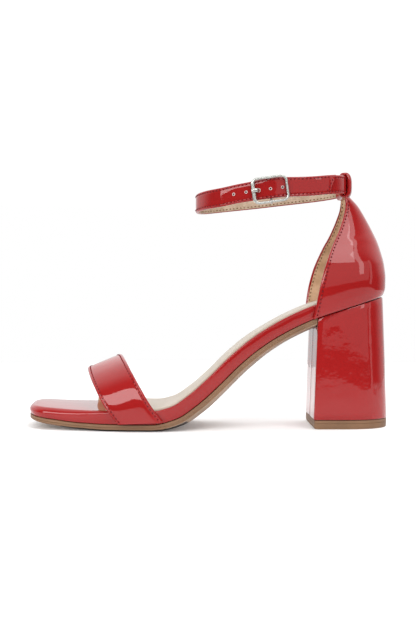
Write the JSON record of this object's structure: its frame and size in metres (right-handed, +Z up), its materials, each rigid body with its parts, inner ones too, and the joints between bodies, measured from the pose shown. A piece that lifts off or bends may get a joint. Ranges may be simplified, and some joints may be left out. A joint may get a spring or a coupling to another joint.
{
  "type": "block heel shoe",
  "caption": "Open-toe sandal in glossy red patent leather with a broad front strap, closed heel counter, buckled ankle strap and tall block heel.",
  "frame": {"origin": "centre of the bounding box on the floor that the shoe stands on", "axes": "toe along -X, heel along +X, outer buckle side along -Y, inner side along +Y, +Z up"},
  "size_m": [0.2204, 0.0815, 0.1551],
  "materials": {
    "red_patent": "high gloss patent",
    "tan_rubber": "satin",
    "beige_sock": "matt",
    "bright_metal": "polished"
  },
  "bodies": {
    "root": {"outsole": "tan_rubber", "midsole": "red_patent", "insole": "beige_sock", "heel_block": "red_patent", "heel_top_piece": "tan_rubber", "vamp_strap": "red_patent", "heel_counter": "red_patent", "strap_loop": "red_patent", "ankle_strap": "red_patent", "buckle_frame": "bright_metal", "buckle_prong": "bright_metal"}
  },
  "joints": []
}
